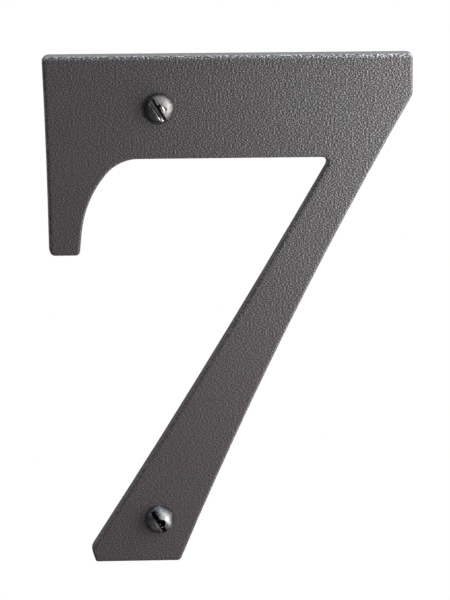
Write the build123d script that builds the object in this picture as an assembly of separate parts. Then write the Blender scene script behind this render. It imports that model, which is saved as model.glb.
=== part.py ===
"""Iron house number 7, fixed to a wall by two slotted round-head wood screws.

Millimetres. X runs to the right, Z up, and the wall is the plane Y = 0 with the wall itself at +Y,
so the numeral's face looks towards -Y. The origin is on the wall, on the axis of the upper screw.
"""

import os
from math import cos, radians, tan

from build123d import *

# Numeral: overall sizes
HEIGHT = 127.0
WIDTH = 91.85  # across the top edge
THICKNESS = 5.0
FACE_ROUND = 0.5  # rounding of the edge all round the face

# Numeral: bar and right-hand end
BAR_DEPTH = 25.75  # top edge down to the underside
END_HEIGHT = 10.3  # the upright end of the bar, before the diagonal starts

# Numeral: serif on the left
FOOT_DROP = 49.7  # top edge down to the serif's foot
FOOT_WIDTH = 7.4
LEFT_LEAN = 1.95  # degrees from upright of the left edge, inwards going down
LEFT_HOLLOW = 0.2  # how far the left edge is hollowed between its ends
FOOT_LEAN = 5.2  # degrees from upright of the foot's inner side
TIGHT_RADIUS = 10.5  # the hollow under the bar starts tight
TIGHT_TURN = 50.0  # degrees turned at the tight radius
EASY_RADIUS = 26.3  # and runs out into the foot more gently

# Numeral: leg
NOTCH_FROM_END = 20.05  # sideways, from the bar's end to the inner corner under the bar
TOE_FROM_END = 57.9  # sideways, from the bar's end to the leg's right-hand toe
LEG_BASE = 24.1  # along the base, from the toe to the leg's point before it is cut off
OUTER_HOLLOW = 2.05  # how far the leg's right-hand edge is hollowed between its ends
INNER_BELLY = 0.8  # how far its left-hand edge curves the same way
POINT_CUT_BASE = 3.05  # cut off the leg's sharp point, along the base
POINT_CUT_EDGE = 3.6  # and along its left-hand edge

# Numeral: corner radii, seen from the front
TOP_LEFT_CORNER = 1.7
TOP_RIGHT_CORNER = 1.1
END_CORNER = 3.0
TOE_CORNER = 1.2
POINT_LOWER_CORNER = 0.5
POINT_UPPER_CORNER = 2.5
NOTCH_CORNER = 1.5
FOOT_INNER_CORNER = 1.05
FOOT_OUTER_CORNER = 1.3

# Screw holes, drilled straight through the numeral
HOLE_BELOW_TOP = 13.15  # the upper one
HOLE_ABOVE_BASE = 10.65  # the lower one, right below it
HOLE_FROM_TOE = 5.15  # sideways, from the toe to the upright line that both stand on
HOLE_CLEARANCE = 0.25  # all round the shank

# Screws
HEAD_DIAMETER = 7.0
HEAD_HEIGHT = 2.5
HEAD_RIM = 0.35  # straight side below the dome
SHANK_DIAMETER = 3.5
CORE_DIAMETER = 2.4  # under the thread
SCREW_LENGTH = 25.4  # under the head
SHANK_LENGTH = 8.5  # plain, under the head
RUN_OUT = 0.8  # taper from the shank down to the core
TIP_LENGTH = 4.5
TIP_FLAT = 0.25  # diameter left at the very tip

# Screw slots
SLOT_WIDTH = 1.2
SLOT_DEPTH = 1.35
SLOT_TILT = 57.5  # degrees the slot falls from level, going right
SLOT_OFFSET = 0.65  # sawn this far off the head's centre, down and to the left
LIP_BREAK = 0.12  # bevel along both lips of the slot

# Bite that a slipping driver has torn from one lip of the lower screw's slot
BITE_RADIUS = 0.86
BITE_ALONG = 0.75  # down the slot from the middle of the head
BITE_ACROSS = 0.6  # from the slot's middle line towards the torn lip
BITE_DEPTH = 1.15

# Places that follow from the sizes, in the front view
top = HOLE_BELOW_TOP
base = top - HEIGHT
underside = top - BAR_DEPTH
foot = top - FOOT_DROP
toe = (HOLE_FROM_TOE, base)
right_top = (toe[0] + TOE_FROM_END, top)
left_top = (right_top[0] - WIDTH, top)
end_foot = (right_top[0], top - END_HEIGHT)
point = (toe[0] - LEG_BASE, base)
notch = (right_top[0] - NOTCH_FROM_END, underside)
foot_left = (left_top[0] + FOOT_DROP * tan(radians(LEFT_LEAN)), foot)
foot_right = (foot_left[0] + FOOT_WIDTH, foot)
upper_hole = (0, 0)
lower_hole = (0, base + HOLE_ABOVE_BASE)


def hollow_under_bar(start):
    """The edge from the bar's underside down to the foot: a tight arc, an easy arc and a straight side."""
    tight = JernArc(start, (-1, 0), TIGHT_RADIUS, TIGHT_TURN)
    easy = JernArc(tight @ 1, tight % 1, EASY_RADIUS, 90 - FOOT_LEAN - TIGHT_TURN)
    fall = (easy @ 1).Y - foot
    side = Line(easy @ 1, easy @ 1 + (easy % 1) * (fall / cos(radians(FOOT_LEAN))))
    return [tight, easy, side]


def outline():
    """The numeral's outline with sharp corners, and the two ends of the cut across the leg's point."""
    reach = (hollow_under_bar((0, underside))[-1] @ 1).X
    hollow = hollow_under_bar((foot_right[0] - reach, underside))
    whole_inner_edge = SagittaArc(notch, point, INNER_BELLY)
    inner_edge = whole_inner_edge.trim(0, 1 - POINT_CUT_EDGE / whole_inner_edge.length)
    cut_on_base = (point[0] + POINT_CUT_BASE, base)
    cut_on_edge = inner_edge @ 1
    edges = [
        Line(left_top, right_top),
        Line(right_top, end_foot),
        SagittaArc(end_foot, toe, -OUTER_HOLLOW),
        Line(toe, cut_on_base),
        Line(cut_on_base, cut_on_edge),
        inner_edge,
        Line(notch, hollow[0] @ 0),
        *hollow,
        Line(foot_right, foot_left),
        SagittaArc(foot_left, left_top, -LEFT_HOLLOW),
    ]
    return edges, cut_on_base, (cut_on_edge.X, cut_on_edge.Y)


def edge_through(body, corner):
    """The straight edge that runs through the plate's thickness at this corner of the front view."""
    at = Vector(corner[0], -THICKNESS / 2, corner[1])
    return body.edges().filter_by(Axis.Y).sort_by_distance(at)[0]


def make_numeral():
    edges, cut_on_base, cut_on_edge = outline()
    body = extrude(Plane.XZ * make_face(edges), THICKNESS)
    corners = [
        (left_top, TOP_LEFT_CORNER),
        (right_top, TOP_RIGHT_CORNER),
        (end_foot, END_CORNER),
        (toe, TOE_CORNER),
        (cut_on_base, POINT_LOWER_CORNER),
        (cut_on_edge, POINT_UPPER_CORNER),
        (notch, NOTCH_CORNER),
        (foot_right, FOOT_INNER_CORNER),
        (foot_left, FOOT_OUTER_CORNER),
    ]
    for corner, radius in corners:
        body = fillet(edge_through(body, corner), radius)
    face = body.faces().sort_by(Axis.Y)[0]
    body = fillet(face.outer_wire().edges(), FACE_ROUND)
    for hole in (upper_hole, lower_hole):
        drill = Plane.XZ * Pos(*hole) * Circle(SHANK_DIAMETER / 2 + HOLE_CLEARANCE)
        body -= extrude(drill, THICKNESS)
    return body


def screw_blank():
    """A screw with no slot, its axis on Y through the origin and its head seated on the numeral's face."""
    seat = -THICKNESS
    crown = seat - HEAD_HEIGHT
    rim = seat - HEAD_RIM
    tip = seat + SCREW_LENGTH
    shank_end = seat + SHANK_LENGTH
    head, shank, core, flat = (d / 2 for d in (HEAD_DIAMETER, SHANK_DIAMETER, CORE_DIAMETER, TIP_FLAT))
    dome = TangentArc((0, crown), (head, rim), tangent=(1, 0))
    rest = Polyline(
        (head, rim),
        (head, seat),
        (shank, seat),
        (shank, shank_end),
        (core, shank_end + RUN_OUT),
        (core, tip - TIP_LENGTH),
        (flat, tip),
        (0, tip),
        (0, crown),
    )
    return revolve(make_face([dome, rest]), Axis.Y)


def slot_frame():
    """On the crown of the head: X down the slot, Y across it up and to the right, Z out of the head."""
    down = Vector(1, 0, 0).rotate(Axis.Y, SLOT_TILT)
    return Plane(origin=(0, -THICKNESS - HEAD_HEIGHT, 0), x_dir=down, z_dir=(0, -1, 0))


def saw_slot(screw):
    """Cut the slot right across the head, and break the two lips that it leaves on the dome."""
    frame = slot_frame()
    screw -= frame * Pos(0, -SLOT_OFFSET) * Box(2 * HEAD_DIAMETER, SLOT_WIDTH, 2 * SLOT_DEPTH)

    def on_lip(edge):
        across = frame.to_local_coords(edge @ 0.5).Y + SLOT_OFFSET
        return abs(abs(across) - SLOT_WIDTH / 2) < 0.001

    return chamfer(screw.edges().filter_by(GeomType.CIRCLE).filter_by(on_lip), LIP_BREAK)


def make_screw(place, bitten):
    screw = saw_slot(screw_blank())
    if bitten:
        bite = Pos(BITE_ALONG, BITE_ACROSS - SLOT_OFFSET) * Cylinder(BITE_RADIUS, 2 * BITE_DEPTH)
        screw -= slot_frame() * bite
    return Pos(place[0], 0, place[1]) * screw


if __name__ == "__main__":
    os.makedirs("parts", exist_ok=True)
    export_step(make_numeral(), "parts/numeral_plate.step")
    export_step(make_screw(upper_hole, bitten=False), "parts/upper_screw.step")
    export_step(make_screw(lower_hole, bitten=True), "parts/lower_screw.step")
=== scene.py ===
import math
from contextlib import contextmanager

import bmesh
import bpy
import numpy as np
from mathutils import Matrix, Vector, noise


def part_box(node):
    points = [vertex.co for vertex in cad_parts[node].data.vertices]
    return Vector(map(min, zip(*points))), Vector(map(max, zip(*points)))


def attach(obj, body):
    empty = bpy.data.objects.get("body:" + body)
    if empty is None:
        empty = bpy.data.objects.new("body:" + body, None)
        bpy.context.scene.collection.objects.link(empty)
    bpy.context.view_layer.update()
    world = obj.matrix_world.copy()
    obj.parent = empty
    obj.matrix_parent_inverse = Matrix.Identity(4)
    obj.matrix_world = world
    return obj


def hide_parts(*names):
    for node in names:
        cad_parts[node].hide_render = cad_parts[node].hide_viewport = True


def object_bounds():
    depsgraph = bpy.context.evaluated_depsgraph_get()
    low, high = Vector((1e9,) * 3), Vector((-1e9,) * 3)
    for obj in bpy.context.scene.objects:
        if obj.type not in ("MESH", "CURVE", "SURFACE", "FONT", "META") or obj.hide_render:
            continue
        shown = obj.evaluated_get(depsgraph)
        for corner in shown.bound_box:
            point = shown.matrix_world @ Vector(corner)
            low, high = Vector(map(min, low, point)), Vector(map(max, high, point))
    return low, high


# Looks of an iron house number 7 with a pebbled graphite coat, and of the two black slotted screws
# that fix it. Metres. X runs to the right, Z up, and the numeral's face looks towards -Y.

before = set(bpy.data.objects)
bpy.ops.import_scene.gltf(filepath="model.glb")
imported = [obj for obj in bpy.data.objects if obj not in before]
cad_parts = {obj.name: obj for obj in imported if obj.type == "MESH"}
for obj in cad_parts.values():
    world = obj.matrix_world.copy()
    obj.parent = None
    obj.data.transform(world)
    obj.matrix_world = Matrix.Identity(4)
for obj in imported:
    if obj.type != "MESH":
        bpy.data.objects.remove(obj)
cad_low, cad_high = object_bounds()

MM = 0.001

# Places read from the frame
plate_low, plate_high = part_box("numeral_plate")
FACE_Y = plate_low.y
WALL_Y = plate_high.y

# Camera: a little from the left and a little from above, through a long lens
CAMERA_AZIMUTH = -4.8
CAMERA_ELEVATION = 9.0
CAMERA_DISTANCE = 1.40
CAMERA_TARGET = Vector((0.01653, -0.0025, -0.04845))
SENSOR_WIDTH = 36.0
LENS = 337.6

# Light: a soft panel close by on the right, and a wide one above
KEY_PLACE = Vector((0.108, -0.040, -0.035))
KEY_AIM = Vector((0.0, -0.040, -0.035))
KEY_WIDTH = 0.07
KEY_HEIGHT = 0.24
KEY_RADIANCE = 7.4
TOP_PLACE = Vector((0.01, 0.045, 0.15))
TOP_AIM = Vector((0.01, 0.0, 0.0))
TOP_WIDTH = 0.28
TOP_HEIGHT = 0.10
TOP_RADIANCE = 5.4

# Room and white backdrop. A pair of limits says how far a ray points that way where the light begins to
# rise, and where it has risen in full.
ROOM_DARK = 0.14  # the room in front and on the left
ROOM_BRIGHT = 1.1  # the room's bright side, to the right and above
BRIGHT_SIDE = Vector((0.84, -0.10, 0.54)).normalized()
BRIGHT_LIMITS = (0.15, 0.65)
BACKDROP_WHITE = 1.0
BACKDROP_MIRRORED = 0.68
BACKDROP_LIMITS = (0.1, 0.6)  # backwards
BACKDROP_LOW = 0.7  # how much of it is left below eye level
BACKDROP_RISE = (-0.05, 0.15)  # upwards

# Floor: a pale disc far below
FLOOR_DROP = 0.25
FLOOR_RADIUS = 0.25
FLOOR_SIDES = 96
FLOOR_FADE = 0.12  # breadth of the rim over which it turns clear
FLOOR_PALE = (0.8, 0.8, 0.8, 1)

# Numeral's skin, and the grain that is pressed into it
PLATE_VOXEL = 0.28  # mm
BACK_SPARE = 1.0 * MM  # length that is added behind the back and cut off again, which keeps its edges sharp
BACK_MARGIN = 0.5 * MM  # over which the grain dies away before the back
GRAIN_DEPTH = 0.035 * MM
GRAIN_CELL = 0.52 * MM
GRAIN_FINE_CELL = 0.27 * MM
GRAIN_FINE_SHARE = 0.3
GRAIN_FINE_SHIFT = 7.0  # keeps the fine noise from lining up with the coarse one
GRAIN_SHARPEN = 1.6
GRAIN_DRAWN = (0.75, 1.0, 1.3)  # cells lie on their sides
GRAIN_SLANT = 0.6  # the grain is boldest at the bar's right end, and dies away to the left and downwards; so do its painted shade and glints
GRAIN_FADE = (-35 * MM, 50 * MM)
GRAIN_FAINTEST = 0.44

# Coat. A pair called FACING says how far a surface faces that way where an effect begins, and where it is
# full: 1 is square on, and a minus sign turns it to the left or to the front.
GRAIN_SCALE = 2600.0  # cells of the coat's grain in a metre
GRAIN_LEVELS = (0.36, 0.72)  # where in the noise its pits end and its crests begin
GRAIN_BUMP = 0.12 * MM
GRAIN_PIT_SHADE = 0.64  # painted shade: how bright the pits are painted against the plain coat
GRAIN_CREST_GLINT = 1.67  # and the crests, painted bright as glints
GRAIN_ON_TOP = 0.4  # how bold it is on what faces upwards, against the rest
GRAIN_TOP_FACING = (0.5, 0.95)
GRAIN_ON_RIGHT = 1.6  # how bold it is, with its painted shade and glints, where the face's rounded edge turns to the right
GRAIN_RIGHT_FACING = (0.15, 0.6)
COAT_WARM = (0.070, 0.058, 0.062, 1)  # to the left and downwards
COAT_PLAIN = (0.074, 0.071, 0.072, 1)
COAT_PLAIN_GAIN = 1.4  # how soon the warm tint turns plain as the grain gets bolder
COAT_CLOUD_SCALE = 90.0  # clouds in a metre, where the tint wanders
COAT_CLOUD_DETAIL = 2.0
COAT_ROUGH = (0.40, 0.56)  # on the crests, and in the pits
COAT_UPPER_SHADED = (0.050, 0.055, 0.062, 1)  # painted shade: darker and cooler on what faces upwards
COAT_UPPER_SHADE_FACING = (0.3, 0.8)
TOP_EDGE_HIGHLIGHT = (0.270, 0.284, 0.303, 1)  # painted highlight: pale and bluish on the face along its upper edge
TOP_HIGHLIGHT_BAND = (1.35 * MM, 0.35 * MM)  # below the top: where that begins, and where it is palest
TOP_HIGHLIGHT_FACING = (-0.45, -0.80)
TOP_HIGHLIGHT_PIT = 0.15  # how much of it shows in the pits
LEFT_PAINTED_LIGHT = 1.5  # painted light: how much paler the coat is painted where the face's rounded edge turns to the left
LEFT_FACING = (-0.1, -0.6)
LEFT_FRONT_FACING = (-0.25, -0.6)
LEFT_BEHIND = 0.3  # how much of it is left on the side behind that edge
LEFT_PIT = 0.3  # and in the pits
SLOPE_LEFT_FACING = (-0.65, -0.85)  # a side that slopes up to the left is duller, and darker with painted shade
SLOPE_UP_FACING = (0.1, 0.4)
SLOPE_GLOSS = 0.15
SLOPE_SHADE = 0.6
COAT_GLOSS = 0.5
SHADOW_PLACE = (-0.38 * MM, 0.0, 0.0)  # a painted shadow, dark on the coat on the left of the upper screw's head
SHADOW_REACH = (3.7 * MM, 4.3 * MM)
SHADOW_DARK = 0.22
UNSHADOWED_FACING = (0.3, 0.6)  # the back has no painted shadow

# Screws' skin
SCREW_VOXEL = 0.09  # mm
# painted shade and light: the steel's colour, dark and cool where shade is painted, pale and warm where it is
# lit
STEEL_COOL_SHADED = (0.125, 0.14, 0.15, 1)
STEEL_WARM_LIT = (0.240, 0.237, 0.231, 1)
STEEL_BARE = (0.85, 0.84, 0.83, 1)
# painted shade: near black, for the slot's corners and the torn bite
STEEL_PAINTED_SHADE = (0.01, 0.01, 0.01, 1)
MOTTLE_SCALE = 1100.0  # patches in a metre
MOTTLE_DETAIL = 3.0
STEEL_DULL = 0.62  # how dark the mottled patches are against the rest
DULL_LEVELS = (0.35, 0.65)  # where in the noise they end, and where the rest begins
STEEL_ROUGH = (0.40, 0.54)
ROUGH_LEVELS = (0.3, 0.7)
STEEL_BUMP = 0.05 * MM
STEEL_BUMP_STRENGTH = 0.5

# Marks on the screw heads, in mm on the head as seen from the front: along the slot (downwards), then
# across it (to the upper right), from the middle of the head
SLOT_TILT = math.radians(57.5)
HEAD_DEPTH = 2.5 * MM
CROWN_SPARE = 0.02 * MM  # burrs stay this far below the crown
DENTS = {  # centre, half length, half breadth, depth; a negative depth is a burr
    "upper_screw": [
        ((-0.75, 0.35), 0.70, 0.40, 0.35),
        ((0.40, 1.05), 1.00, 0.55, 0.14),
        ((0.36, 0.70), 0.80, 0.26, -0.26),
        ((1.45, 0.72), 0.26, 0.20, 0.14),
        ((0.95, 0.95), 0.20, 0.16, 0.10),
        ((-1.90, 0.30), 0.45, 0.18, 0.10),
        ((2.45, -0.80), 0.50, 0.12, -0.35),
        ((2.78, -1.08), 0.35, 0.38, -0.50),
        ((2.40, -1.36), 0.90, 0.14, -0.15),
        ((-1.2, -1.75), 0.40, 0.20, 0.08),
    ],
    "lower_screw": [
        ((-2.20, 0.20), 0.35, 0.30, 0.22),
        ((1.04, -0.66), 0.16, 0.14, -0.35),
        ((1.80, -0.56), 0.18, 0.14, -0.40),
        ((-0.30, 0.05), 0.30, 0.12, 0.10),
    ],
}
WORN = {  # bare bright metal: two ends of a line, half breadth, how bright
    "upper_screw": [
        ((-1.70, -1.34), (1.60, -1.38), 0.05, 0.15),
        ((1.70, -1.38), (2.85, -1.28), 0.15, 1.0),
        ((2.78, -1.25), (2.86, -0.88), 0.20, 1.0),
        ((2.10, -0.84), (2.80, -0.84), 0.10, 0.9),
        ((0.05, 0.72), (0.70, 0.68), 0.18, 0.7),
    ],
    "lower_screw": [
        ((-0.65, -1.50), (1.40, -1.52), 0.06, 0.15),
        ((1.04, -0.66), (1.04, -0.66), 0.14, 0.9),
        ((1.80, -0.56), (1.80, -0.56), 0.16, 1.0),
    ],
}
PAINTED_SHADE = {  # painted shade, black in the slot's corners, in the torn bite and low on the head: two ends of a line, half breadth, how black
    "upper_screw": [
        ((-2.95, -0.20), (2.9, -0.17), 0.17, 1.0),
        ((-2.6, -1.12), (1.5, -1.12), 0.10, 1.0),
        ((-1.7, -1.34), (1.2, -1.38), 0.12, 0.5),
        ((-1.1, 0.12), (-0.6, 0.32), 0.20, 1.0),
        ((-0.6, -0.08), (0.3, -0.08), 0.22, 1.0),
        ((-1.5, -2.5), (1.2, -2.6), 0.80, 0.4),
    ],
    "lower_screw": [
        ((-2.35, -0.60), (3.2, -0.55), 0.50, 1.0),
        ((0.75, -0.04), (0.75, -0.04), 0.90, 1.0),
        ((-2.2, -1.27), (-1.2, -1.29), 0.16, 0.8),
        ((-1.2, -1.29), (2.6, -1.33), 0.13, 0.60),
        ((0.2, -2.6), (2.0, -2.4), 0.90, 0.45),
    ],
}
MARK_EDGE = 0.08  # mm over which a mark fades out
WARM_LIT_RISE = {  # painted shade: where along the slot the steel begins to turn from dark and cool to pale and warm, and where it is
    "upper_screw": (-3.2, -1.6),
    "lower_screw": (-1.9, 0.6),
}
HIGHLIGHT_GAIN = {  # painted highlight: how much brighter the steel is painted, at places across the slot, which sets where the head's highlight sits
    "upper_screw": ((0.2, 1.4), (2.0, 1.0), (3.3, 0.85)),
    "lower_screw": ((0.2, 1.8), (1.5, 2.5), (2.1, 0.9), (2.7, 0.35), (3.3, 0.3)),
}
HIGHLIGHT_FALL = {  # and how much of that is left at places along it
    "upper_screw": ((0.7, 1.0), (2.6, 0.4)),
    "lower_screw": ((0.4, 1.0), (1.3, 0.5), (2.8, 0.45)),
}

# Screw thread: a ridge wound round the core, behind the plain shank
THREAD_PITCH = 1.41 * MM
THREAD_CREST = 1.75 * MM
THREAD_CORE = 1.2 * MM
THREAD_ROOT = 0.6  # how far out the ridge's foot lies, against the core
THREAD_SUNK = 0.35  # how far out its crest lies, against the core, where the ridge has died away
THREAD_START = 3.6 * MM  # into the wall
THREAD_END = 20.0 * MM
THREAD_RUN_IN = 0.75  # turns over which it rises to its full height
THREAD_FIRST = 0.5  # how high it starts
THREAD_TIP = 3.2 * MM  # over which it dies away at the point
THREAD_ROOT_WIDTH = 0.62 * MM
THREAD_CREST_WIDTH = 0.14 * MM
THREAD_STEPS = 40  # a turn


def new_object(name, data):
    obj = bpy.data.objects.new(name, data)
    bpy.context.scene.collection.objects.link(obj)
    return obj


def copy_of(node, name):
    """A new object with its own copy of a CAD node's mesh."""
    obj = new_object(name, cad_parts[node].data.copy())
    obj.data.materials.clear()
    return obj


@contextmanager
def edited(mesh):
    """The mesh's points, edges and faces for editing, written back at the end."""
    work = bmesh.new()
    work.from_mesh(mesh)
    yield work
    work.to_mesh(mesh)
    work.free()


def voxel_skin(obj, size_mm):
    """Give the object one even, closed skin of quads of about this size."""
    obj.data.transform(Matrix.Scale(1 / MM, 4))
    remesh = obj.modifiers.new("even_skin", "REMESH")
    remesh.mode = "VOXEL"
    remesh.voxel_size = size_mm
    skin = bpy.data.meshes.new_from_object(obj.evaluated_get(bpy.context.evaluated_depsgraph_get()))
    obj.modifiers.clear()
    obj.data = skin
    skin.transform(Matrix.Scale(MM, 4))
    skin.shade_smooth()


def points_and_normals(mesh):
    count = len(mesh.vertices)
    points = np.empty(count * 3, np.float32)
    normals = np.empty(count * 3, np.float32)
    mesh.vertices.foreach_get("co", points)
    mesh.vertex_normals.foreach_get("vector", normals)
    return points.reshape(-1, 3).astype(float), normals.reshape(-1, 3).astype(float)


def set_points(mesh, points):
    mesh.vertices.foreach_set("co", points.astype(np.float32).ravel())
    mesh.update()


def smoothstep(low, high, values):
    """A smooth rise from 0 to 1 between two limits, or a fall where low is above high."""
    share = np.clip((values - low) / (high - low), 0, 1)
    return share * share * (3 - 2 * share)


def noise_at(points, cell):
    """Smooth noise from about -1 to 1 at each point, with lumps about two cells apart."""
    return np.array([noise.noise(Vector(row)) for row in points / cell])


def lengthen_back(mesh):
    """Draw the flat back out into the wall, with no change to the numeral's outline."""
    middle = (FACE_Y + WALL_Y) / 2
    for vertex in mesh.vertices:
        if vertex.co.y > middle:
            vertex.co.y += BACK_SPARE


def cut_back(mesh):
    """Cut the lengthened numeral off at the wall, and close it with large triangles round the holes."""
    with edited(mesh) as work:
        whole = work.verts[:] + work.edges[:] + work.faces[:]
        wall = {"plane_co": (0, WALL_Y, 0), "plane_no": (0, 1, 0)}
        bmesh.ops.bisect_plane(work, geom=whole, clear_outer=True, **wall)
        rims = [edge for edge in work.edges if edge.is_boundary]
        for edge in rims:
            edge.smooth = False
        bmesh.ops.triangle_fill(work, edges=rims, use_beauty=True, normal=(0, 1, 0))
    mesh.shade_smooth()


def press_grain(mesh):
    """Press the coat's grain into the skin, never out of it."""
    points, normals = points_and_normals(mesh)
    drawn = points * GRAIN_DRAWN
    coarse = noise_at(drawn, GRAIN_CELL)
    fine = noise_at(drawn + GRAIN_FINE_SHIFT, GRAIN_FINE_CELL)
    grain = np.tanh(GRAIN_SHARPEN * (coarse + GRAIN_FINE_SHARE * fine))
    along = points[:, 0] + GRAIN_SLANT * points[:, 2]
    bold = np.interp(along, GRAIN_FADE, (GRAIN_FAINTEST, 1))
    depth = GRAIN_DEPTH * bold * (1 - grain) / 2 * smoothstep(0, BACK_MARGIN, WALL_Y - points[:, 1])
    set_points(mesh, points - normals * depth[:, None])


def make_numeral():
    obj = copy_of("numeral_plate", "numeral")
    lengthen_back(obj.data)
    voxel_skin(obj, PLATE_VOXEL)
    cut_back(obj.data)
    press_grain(obj.data)
    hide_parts("numeral_plate")
    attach(obj, "root")
    return obj


def thread_section(y):
    """The ridge's section at this depth, as radius and offset along the screw."""
    rise = smoothstep(0, THREAD_RUN_IN * THREAD_PITCH, y - THREAD_START)
    fall = smoothstep(0, THREAD_TIP, THREAD_END - y)
    sunk = THREAD_CORE * THREAD_SUNK
    crest = sunk + (THREAD_CREST - sunk) * min(rise * (1 - THREAD_FIRST) + THREAD_FIRST, fall)
    root = min(crest, THREAD_CORE) * THREAD_ROOT
    return (
        (root, -THREAD_ROOT_WIDTH / 2),
        (crest, -THREAD_CREST_WIDTH / 2),
        (crest, THREAD_CREST_WIDTH / 2),
        (root, THREAD_ROOT_WIDTH / 2),
    )


def make_thread(name, axis_x, axis_z):
    """A right-hand ridge with a trapezoid section, wound round the core as one closed solid."""
    length = THREAD_END - THREAD_START
    steps = int(length / THREAD_PITCH * THREAD_STEPS)
    vertices, faces = [], []
    for i in range(steps + 1):
        angle = 2 * math.pi * i / THREAD_STEPS
        y = THREAD_START + length * i / steps
        for radius, along in thread_section(y):
            vertices.append((axis_x + radius * math.sin(angle), y + along, axis_z + radius * math.cos(angle)))
    for i in range(steps):
        a, b = 4 * i, 4 * (i + 1)
        for k in range(4):
            faces.append((a + k, a + (k + 1) % 4, b + (k + 1) % 4, b + k))
    faces.append((3, 2, 1, 0))
    faces.append(tuple(4 * steps + k for k in range(4)))
    mesh = bpy.data.meshes.new(name)
    mesh.from_pydata(vertices, [], faces)
    with edited(mesh) as work:
        bmesh.ops.recalc_face_normals(work, faces=work.faces[:])
    return mesh


def on_head(points, axis_x, axis_z):
    """Places on the head in mm: along its slot, across its slot."""
    x, z = (points[:, 0] - axis_x) / MM, (points[:, 2] - axis_z) / MM
    along = x * math.cos(SLOT_TILT) - z * math.sin(SLOT_TILT)
    across = x * math.sin(SLOT_TILT) + z * math.cos(SLOT_TILT)
    return along, across


def near_line(along, across, start, end):
    """Distance in mm from the line between two places on the head, which may be one and the same."""
    start, step = np.array(start), np.subtract(end, start)
    length_squared = max(float(step @ step), 1e-9)
    share = ((along - start[0]) * step[0] + (across - start[1]) * step[1]) / length_squared
    share = np.clip(share, 0, 1)
    return np.hypot(along - start[0] - share * step[0], across - start[1] - share * step[1])


def beat_head(mesh, node, along, across):
    """Press the dents into the head and raise the burrs, never above the crown."""
    points, _ = points_and_normals(mesh)
    head = points[:, 1] < FACE_Y
    for (a, b), length, breadth, depth in DENTS[node]:
        reach = np.clip(1 - ((along - a) / length) ** 2 - ((across - b) / breadth) ** 2, 0, 1)
        points[:, 1] += np.where(head, reach * depth * MM, 0)
    points[:, 1] = np.maximum(points[:, 1], FACE_Y - HEAD_DEPTH + CROWN_SPARE)
    set_points(mesh, points)


def strongest_mark(marks, along, across):
    """How strongly the strongest of these marks shows at each point."""
    shown = np.zeros(len(along))
    for start, end, breadth, level in marks:
        away = near_line(along, across, start, end)
        shown = np.maximum(shown, level * smoothstep(breadth + MARK_EDGE, breadth, away))
    return shown


def paint_marks(mesh, node, along, across, head):
    """Store for the material how worn each point of the head is, and the shade and highlight painted on it:
    black shade, a rise from dark and cool to pale and warm along the slot, and a brighter patch where the
    highlight sits.
    """
    painted_highlight = np.interp(across, *zip(*HIGHLIGHT_GAIN[node])) * np.interp(along, *zip(*HIGHLIGHT_FALL[node]))
    marks = (  # name, level on the head, level on the rest of the screw
        ("worn", strongest_mark(WORN[node], along, across), 0),
        ("painted_shade", strongest_mark(PAINTED_SHADE[node], along, across), 0),
        ("warm_lit", smoothstep(*WARM_LIT_RISE[node], along), 0),
        ("painted_highlight", painted_highlight, 1),
    )
    for name, on_it, elsewhere in marks:
        layer = mesh.attributes.new(name, "FLOAT", "POINT")
        layer.data.foreach_set("value", np.where(head, on_it, elsewhere).astype(np.float32))


def make_screw(node):
    obj = copy_of(node, node + "_dressed")
    low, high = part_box(node)
    axis_x, axis_z = (low.x + high.x) / 2, (low.z + high.z) / 2
    with edited(obj.data) as work:
        work.from_mesh(make_thread(node + "_thread", axis_x, axis_z))
    voxel_skin(obj, SCREW_VOXEL)
    points, _ = points_and_normals(obj.data)
    along, across = on_head(points, axis_x, axis_z)
    beat_head(obj.data, node, along, across)
    paint_marks(obj.data, node, along, across, points[:, 1] < FACE_Y)
    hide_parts(node)
    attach(obj, "root")
    return obj


class Nodes:
    """Builds a node tree with short calls."""

    def __init__(self, owner):
        owner.use_nodes = True
        self.tree = owner.node_tree
        self.tree.nodes.clear()

    def add(self, kind, inputs=None, **settings):
        node = self.tree.nodes.new(kind)
        for key, value in settings.items():
            setattr(node, key, value)
        for key, value in (inputs or {}).items():
            if isinstance(value, bpy.types.NodeSocket):
                self.tree.links.new(value, node.inputs[key])
            else:
                node.inputs[key].default_value = value
        return node

    def math(self, operation, a, b):
        return self.add("ShaderNodeMath", {0: a, 1: b}, operation=operation).outputs[0]

    def times(self, a, b):
        return self.math("MULTIPLY", a, b)

    def vector(self, operation, inputs, output):
        return self.add("ShaderNodeVectorMath", inputs, operation=operation).outputs[output]

    def split(self, vector):
        return self.add("ShaderNodeSeparateXYZ", {"Vector": vector}).outputs

    def noise(self, place, scale, detail):
        inputs = {"Vector": place, "Scale": scale, "Detail": detail}
        return self.add("ShaderNodeTexNoise", inputs).outputs["Fac"]

    def stored(self, name):
        """A level that is stored at the mesh's points."""
        return self.add("ShaderNodeAttribute", attribute_name=name).outputs["Fac"]

    def level(self, share, low, high):
        """A number between two others."""
        return self.add("ShaderNodeMix", {"Factor": share, 2: low, 3: high}).outputs["Result"]

    def blend(self, share, low, high):
        """A colour between two others."""
        return self.add("ShaderNodeMix", {"Factor": share, 6: low, 7: high}, data_type="RGBA").outputs[2]

    def ramp(self, value, limits, low, high, shape="SMOOTHSTEP"):
        """A rise from one level at the first limit to another at the second."""
        first, second = limits
        inputs = {"Value": value, "From Min": first, "From Max": second, "To Min": low, "To Max": high}
        return self.add("ShaderNodeMapRange", inputs, interpolation_type=shape).outputs["Result"]

    def rise(self, value, limits):
        """The same from 0 to 1."""
        return self.ramp(value, limits, 0.0, 1.0)


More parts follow.
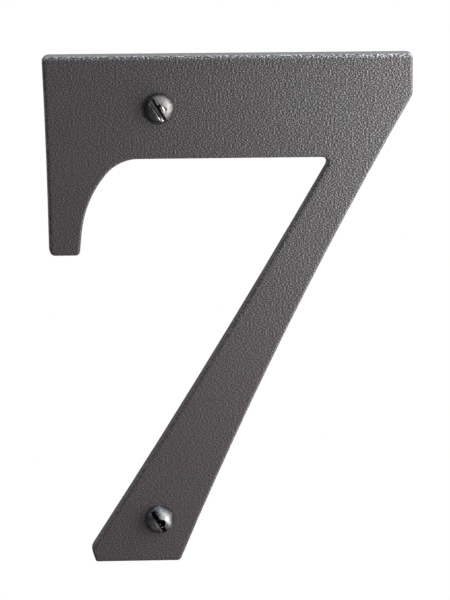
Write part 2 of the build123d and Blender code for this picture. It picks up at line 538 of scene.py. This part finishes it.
def coat_tint(nodes, place, facing, crest, spread):
    """The coat's colour: warmer where its grain is faint, with painted shade, darker and cooler, on what
    faces upwards, and a painted highlight along the face's upper edge.
    """
    cloud = nodes.noise(place, COAT_CLOUD_SCALE, COAT_CLOUD_DETAIL)
    plain = nodes.math("ADD", nodes.times(spread, COAT_PLAIN_GAIN), nodes.math("SUBTRACT", cloud, 1.0))
    tint = nodes.blend(plain, COAT_WARM, COAT_PLAIN)
    # painted shade: darker and cooler on what faces upwards
    tint = nodes.blend(nodes.rise(facing["Z"], COAT_UPPER_SHADE_FACING), tint, COAT_UPPER_SHADED)
    # painted highlight: pale along the face's upper edge
    band = [plate_high.z - below for below in TOP_HIGHLIGHT_BAND]
    top_highlight = nodes.times(nodes.rise(nodes.split(place)["Z"], band), nodes.rise(facing["Y"], TOP_HIGHLIGHT_FACING))
    top_highlight = nodes.times(top_highlight, nodes.level(crest, TOP_HIGHLIGHT_PIT, 1.0))
    return nodes.blend(top_highlight, tint, TOP_EDGE_HIGHLIGHT)


def coat_tone(nodes, place, facing, crest, bold):
    """How bright the coat is against its plain colour: the grain's painted shade and glints, a painted shadow
    by the upper screw, and painted light on the rounded edge on the left.
    """
    # painted shade in the grain's pits and painted glints on its crests
    shade_and_glint = nodes.level(crest, GRAIN_PIT_SHADE, GRAIN_CREST_GLINT)
    tone = nodes.math("ADD", 1.0, nodes.times(bold, nodes.math("SUBTRACT", shade_and_glint, 1.0)))
    flat = nodes.vector("MULTIPLY", {0: place, 1: (1, 0, 1)}, "Vector")
    # painted shadow: a dark ring round the upper screw's head, seen on its left
    away = nodes.vector("DISTANCE", {0: flat, 1: SHADOW_PLACE}, "Value")
    unshadowed = nodes.ramp(away, SHADOW_REACH, SHADOW_DARK, 1.0)
    tone = nodes.times(tone, nodes.math("MAXIMUM", unshadowed, nodes.rise(facing["Y"], UNSHADOWED_FACING)))
    # painted light: paler where the face's rounded edge turns to the left
    left = nodes.ramp(facing["X"], LEFT_FACING, 0.0, LEFT_PAINTED_LIGHT)
    left = nodes.times(left, nodes.ramp(facing["Y"], LEFT_FRONT_FACING, LEFT_BEHIND, 1.0))
    left = nodes.times(left, nodes.level(crest, LEFT_PIT, 1.0))
    return nodes.times(tone, nodes.math("ADD", left, 1.0))


def coated_iron():
    """A pebbled graphite coat: its grain is bold on the right, and its tint is warmer where it is faint."""
    material = bpy.data.materials.new("coated_iron")
    nodes = Nodes(material)
    place = nodes.add("ShaderNodeTexCoord").outputs["Object"]
    facing = nodes.split(nodes.add("ShaderNodeNewGeometry").outputs["Normal"])
    drawn = nodes.vector("MULTIPLY", {0: place, 1: GRAIN_DRAWN}, "Vector")
    crest = nodes.rise(nodes.noise(drawn, GRAIN_SCALE, 0.0), GRAIN_LEVELS)
    along = nodes.vector("DOT_PRODUCT", {0: place, 1: (1, 0, GRAIN_SLANT)}, "Value")
    spread = nodes.ramp(along, GRAIN_FADE, GRAIN_FAINTEST, 1.0, shape="LINEAR")
    bold = nodes.times(spread, nodes.ramp(facing["Z"], GRAIN_TOP_FACING, 1.0, GRAIN_ON_TOP))
    bold = nodes.math("MAXIMUM", bold, nodes.ramp(facing["X"], GRAIN_RIGHT_FACING, 0.0, GRAIN_ON_RIGHT))
    slope = nodes.times(nodes.rise(facing["X"], SLOPE_LEFT_FACING), nodes.rise(facing["Z"], SLOPE_UP_FACING))
    tint = coat_tint(nodes, place, facing, crest, spread)
    tone = coat_tone(nodes, place, facing, crest, bold)
    # painted shade: darker where a side slopes up to the left
    tone = nodes.times(tone, nodes.level(slope, 1.0, SLOPE_SHADE))
    bump = nodes.add("ShaderNodeBump", {"Height": crest, "Strength": bold, "Distance": GRAIN_BUMP})
    shader = nodes.add(
        "ShaderNodeBsdfPrincipled",
        {
            "Base Color": nodes.vector("SCALE", {0: tint, "Scale": tone}, "Vector"),
            "Roughness": nodes.level(crest, COAT_ROUGH[1], COAT_ROUGH[0]),
            "Specular IOR Level": nodes.level(slope, COAT_GLOSS, SLOPE_GLOSS),
            "Normal": bump.outputs["Normal"],
        },
    )
    nodes.add("ShaderNodeOutputMaterial", {"Surface": shader.outputs["BSDF"]})
    return material


def black_steel():
    """Blackened steel with a satin sheen, bare and bright where it is worn; painted shade makes it black and
    dull, darker and cooler, and a painted highlight brighter.
    """
    material = bpy.data.materials.new("black_steel")
    nodes = Nodes(material)
    place = nodes.add("ShaderNodeTexCoord").outputs["Object"]
    mottle = nodes.noise(place, MOTTLE_SCALE, MOTTLE_DETAIL)
    worn = nodes.stored("worn")
    # painted shade: dark and cool towards the slot's upper-left end, pale and warm further down it
    sheen = nodes.blend(nodes.stored("warm_lit"), STEEL_COOL_SHADED, STEEL_WARM_LIT)
    # painted highlight: brighter where the head's highlight should sit
    bright = nodes.times(nodes.stored("painted_highlight"), nodes.ramp(mottle, DULL_LEVELS, STEEL_DULL, 1.0))
    sheen = nodes.vector("SCALE", {0: sheen, "Scale": bright}, "Vector")
    sheen = nodes.blend(worn, sheen, STEEL_BARE)
    # painted shade: black in the slot's corners, in the torn bite and low on the head
    shaded = nodes.times(nodes.stored("painted_shade"), nodes.math("SUBTRACT", 1.0, worn))
    sheen = nodes.blend(shaded, sheen, STEEL_PAINTED_SHADE)
    rough = nodes.ramp(mottle, ROUGH_LEVELS, *STEEL_ROUGH)
    relief = {"Height": mottle, "Strength": STEEL_BUMP_STRENGTH, "Distance": STEEL_BUMP}
    bump = nodes.add("ShaderNodeBump", relief).outputs["Normal"]
    shader = nodes.add(
        "ShaderNodeBsdfPrincipled",
        {"Base Color": sheen, "Metallic": 1.0, "Roughness": rough, "Normal": bump},
    )
    nodes.add("ShaderNodeOutputMaterial", {"Surface": shader.outputs["BSDF"]})
    return material


def direction(azimuth, elevation):
    """From the object towards the camera. Azimuth 0 stands in front of the face, 90 on its right."""
    a, e = math.radians(azimuth), math.radians(elevation)
    return Vector((math.sin(a) * math.cos(e), -math.cos(a) * math.cos(e), math.sin(e)))


def look_along(obj, heading):
    obj.rotation_mode = "QUATERNION"
    obj.rotation_quaternion = heading.to_track_quat("-Z", "Y")


def make_camera():
    data = bpy.data.cameras.new("camera")
    data.sensor_width = SENSOR_WIDTH
    data.lens = LENS
    camera = new_object("camera", data)
    back = direction(CAMERA_AZIMUTH, CAMERA_ELEVATION)
    camera.location = CAMERA_TARGET + back * CAMERA_DISTANCE
    look_along(camera, -back)
    bpy.context.scene.camera = camera


def make_panel_light(name, place, aim, width, height, radiance):
    """A soft rectangular panel that is as bright from wherever it is seen."""
    data = bpy.data.lights.new(name, "AREA")
    data.shape = "RECTANGLE"
    data.size, data.size_y = width, height
    data.energy = math.pi * width * height * radiance
    lamp = new_object(name, data)
    lamp.location = place
    look_along(lamp, aim - place)
    lamp.visible_camera = False


def make_world():
    """A dim room with one bright side, and a white backdrop that the camera and mirrored rays see."""
    world = bpy.data.worlds.new("studio")
    bpy.context.scene.world = world
    nodes = Nodes(world)
    heading = nodes.add("ShaderNodeTexCoord").outputs["Generated"]
    towards = nodes.vector("DOT_PRODUCT", {0: heading, 1: BRIGHT_SIDE}, "Value")
    lit = nodes.ramp(towards, BRIGHT_LIMITS, ROOM_DARK, ROOM_BRIGHT)
    axes = nodes.split(heading)
    behind = nodes.ramp(axes["Y"], BACKDROP_LIMITS, 0.0, BACKDROP_MIRRORED)
    behind = nodes.times(behind, nodes.ramp(axes["Z"], BACKDROP_RISE, BACKDROP_LOW, 1.0))
    rays = nodes.add("ShaderNodeLightPath").outputs
    mirrored = nodes.math("ADD", rays["Is Glossy Ray"], rays["Is Transmission Ray"])
    level = nodes.math("MAXIMUM", lit, nodes.times(mirrored, behind))
    room = nodes.add("ShaderNodeBackground", {"Color": (1, 1, 1, 1), "Strength": level})
    white = nodes.add("ShaderNodeBackground", {"Color": (1, 1, 1, 1), "Strength": BACKDROP_WHITE})
    choice = {0: rays["Is Camera Ray"], 1: room.outputs[0], 2: white.outputs[0]}
    mix = nodes.add("ShaderNodeMixShader", choice)
    nodes.add("ShaderNodeOutputWorld", {"Surface": mix.outputs[0]})


def pale_floor():
    """A plain pale paint that turns clear towards the disc's rim."""
    material = bpy.data.materials.new("pale_floor")
    nodes = Nodes(material)
    place = nodes.add("ShaderNodeTexCoord").outputs["Object"]
    radius = nodes.vector("LENGTH", {0: place}, "Value")
    fade = nodes.rise(radius, (FLOOR_RADIUS - FLOOR_FADE, FLOOR_RADIUS))
    paint = nodes.add("ShaderNodeBsdfDiffuse", {"Color": FLOOR_PALE})
    clear = nodes.add("ShaderNodeBsdfTransparent")
    mix = nodes.add("ShaderNodeMixShader", {0: fade, 1: paint.outputs[0], 2: clear.outputs[0]})
    nodes.add("ShaderNodeOutputMaterial", {"Surface": mix.outputs[0]})
    return material


def make_floor():
    mesh = bpy.data.meshes.new("floor")
    with edited(mesh) as work:
        bmesh.ops.create_circle(work, cap_ends=True, segments=FLOOR_SIDES, radius=FLOOR_RADIUS)
    floor = new_object("floor", mesh)
    centre = (cad_low + cad_high) / 2
    floor.location = (centre.x, centre.y, cad_low.z - FLOOR_DROP)
    mesh.materials.append(pale_floor())


make_camera()
make_world()
make_panel_light("key_light", KEY_PLACE, KEY_AIM, KEY_WIDTH, KEY_HEIGHT, KEY_RADIANCE)
make_panel_light("top_light", TOP_PLACE, TOP_AIM, TOP_WIDTH, TOP_HEIGHT, TOP_RADIANCE)
make_floor()
bpy.context.scene.view_settings.view_transform = "Standard"

numeral = make_numeral()
numeral.data.materials.append(coated_iron())
steel = black_steel()
for screw in (make_screw("upper_screw"), make_screw("lower_screw")):
    screw.data.materials.append(steel)
